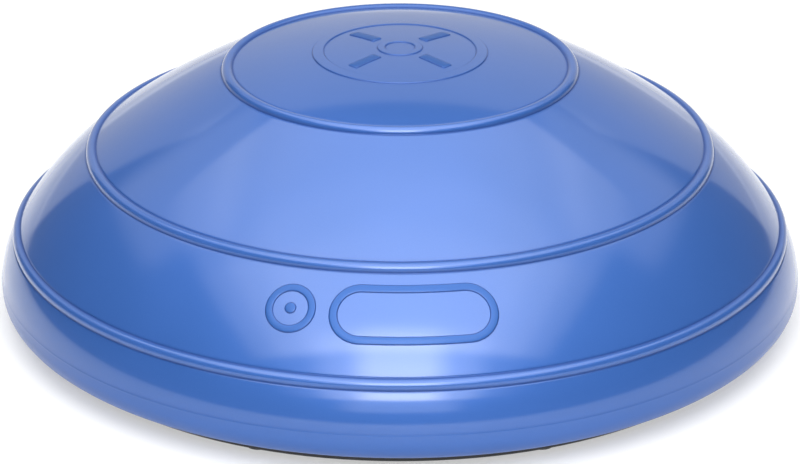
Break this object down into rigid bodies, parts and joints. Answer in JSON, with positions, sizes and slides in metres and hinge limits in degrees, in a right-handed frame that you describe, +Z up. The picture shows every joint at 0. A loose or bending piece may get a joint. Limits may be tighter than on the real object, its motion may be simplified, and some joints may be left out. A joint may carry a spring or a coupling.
{
  "type": "balance dome trainer",
  "caption": "Inflated half-ball dome with raised rings, clamped by its lip to a flat round platform with rubber feet, finger pockets and an air valve underneath.",
  "frame": {"origin": "on the floor under the centre of the dome", "axes": "+Z up through the crown of the dome, front towards -Y, finger pockets on the -X and +X sides"},
  "size_m": [0.6499, 0.65, 0.2257],
  "materials": {
    "bladder": "soft glossy PVC",
    "inner_shell": "moulded, plain",
    "deck": "fine moulded grain",
    "gasket": "matt",
    "screws": "zinc plated",
    "grips": "soft matt",
    "valve_seat": "matt",
    "plug": "satin",
    "feet": "matt"
  },
  "bodies": {
    "platform": {"dome_wall": "bladder", "base_plate": "inner_shell", "deck": "deck", "seal_ring": "gasket", "rim_screws": "screws", "hub_screws": "screws", "grip_left": "grips", "grip_right": "grips", "valve_seat": "valve_seat", "foot_1": "feet", "foot_2": "feet", "foot_3": "feet", "foot_4": "feet", "foot_5": "feet", "foot_6": "feet", "foot_7": "feet", "foot_8": "feet"},
    "crown": {"dome_crown": "bladder"},
    "plug": {"valve_plug": "plug"}
  },
  "joints": [
    {"name": "crown_press", "type": "slide", "parent": "platform", "child": "crown", "axis": [0, 0, -1], "range_m": [0, 0.06], "stiffness_N_per_m": 14000, "deforming": ["dome_wall"]},
    {"name": "plug_pull", "type": "slide", "parent": "platform", "child": "plug", "axis": [0, 0, -1], "range_m": [0, 0.03]}
  ]
}
